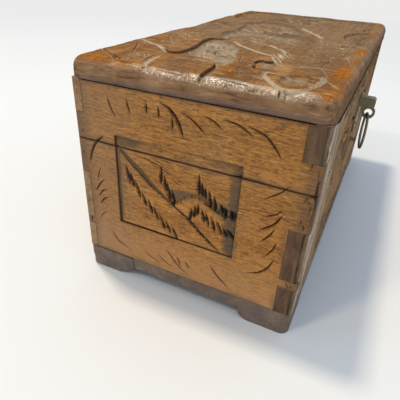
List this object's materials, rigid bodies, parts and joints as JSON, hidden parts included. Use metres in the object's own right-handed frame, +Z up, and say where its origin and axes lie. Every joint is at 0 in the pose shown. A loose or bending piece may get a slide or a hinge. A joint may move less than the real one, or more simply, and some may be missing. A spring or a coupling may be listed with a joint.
{
  "type": "carved wooden box",
  "caption": "Long wooden box on bracket feet, with finger-jointed carved walls, a thick carved lid on back hinges, and a round brass catch plate with a drop ring.",
  "frame": {"origin": "on the ground under the middle of the whole box, catch and hinge knuckles included", "axes": "+X along the length, +Z up, and the front with the catch faces -Y"},
  "size_m": [0.3016, 0.1674, 0.15],
  "materials": {
    "top_wood": "deep relief, brown varnish worn glossy, pale dust in the cuts",
    "long_wood": "brown varnish, end grain at the corners dark",
    "end_wood": "golden brown varnish, satin, with knife-cut carving stained dark",
    "base_wood": "dark brown, worn matt",
    "brass": "aged, brown with green in the corners"
  },
  "bodies": {
    "body": {"front_board": "long_wood", "back_board": "long_wood", "left_end_board": "end_wood", "right_end_board": "end_wood", "bottom_plank_front": "base_wood", "bottom_plank_back": "base_wood", "foot_front_left": "base_wood", "foot_front_right": "base_wood", "foot_back_left": "base_wood", "foot_back_right": "base_wood", "catch_plate": "brass", "catch_plate_nails": "brass", "catch_peg": "brass", "hinge_leaf_body_left": "brass", "hinge_leaf_body_right": "brass", "hinge_pin_left": "brass", "hinge_pin_right": "brass", "hinge_screws_body": "brass"},
    "lid": {"top_board": "top_wood", "lid_front_board": "long_wood", "lid_back_board": "long_wood", "lid_left_end": "end_wood", "lid_right_end": "end_wood", "lid_plate": "brass", "lid_plate_nails": "brass", "pull_lug": "brass", "hinge_leaf_lid_left": "brass", "hinge_leaf_lid_right": "brass", "hinge_screws_lid": "brass"},
    "ring": {"drop_ring": "brass"}
  },
  "joints": [
    {"name": "lid_hinge", "type": "hinge", "parent": "body", "child": "lid", "pos_m": [0, 0.0817, 0.101], "axis": [-1, 0, 0], "range_deg": [0, 110]},
    {"name": "ring_swing", "type": "hinge", "parent": "lid", "child": "ring", "pos_m": [0, -0.0788, 0.1008], "axis": [-1, 0, 0], "range_deg": [-13, 150]}
  ]
}
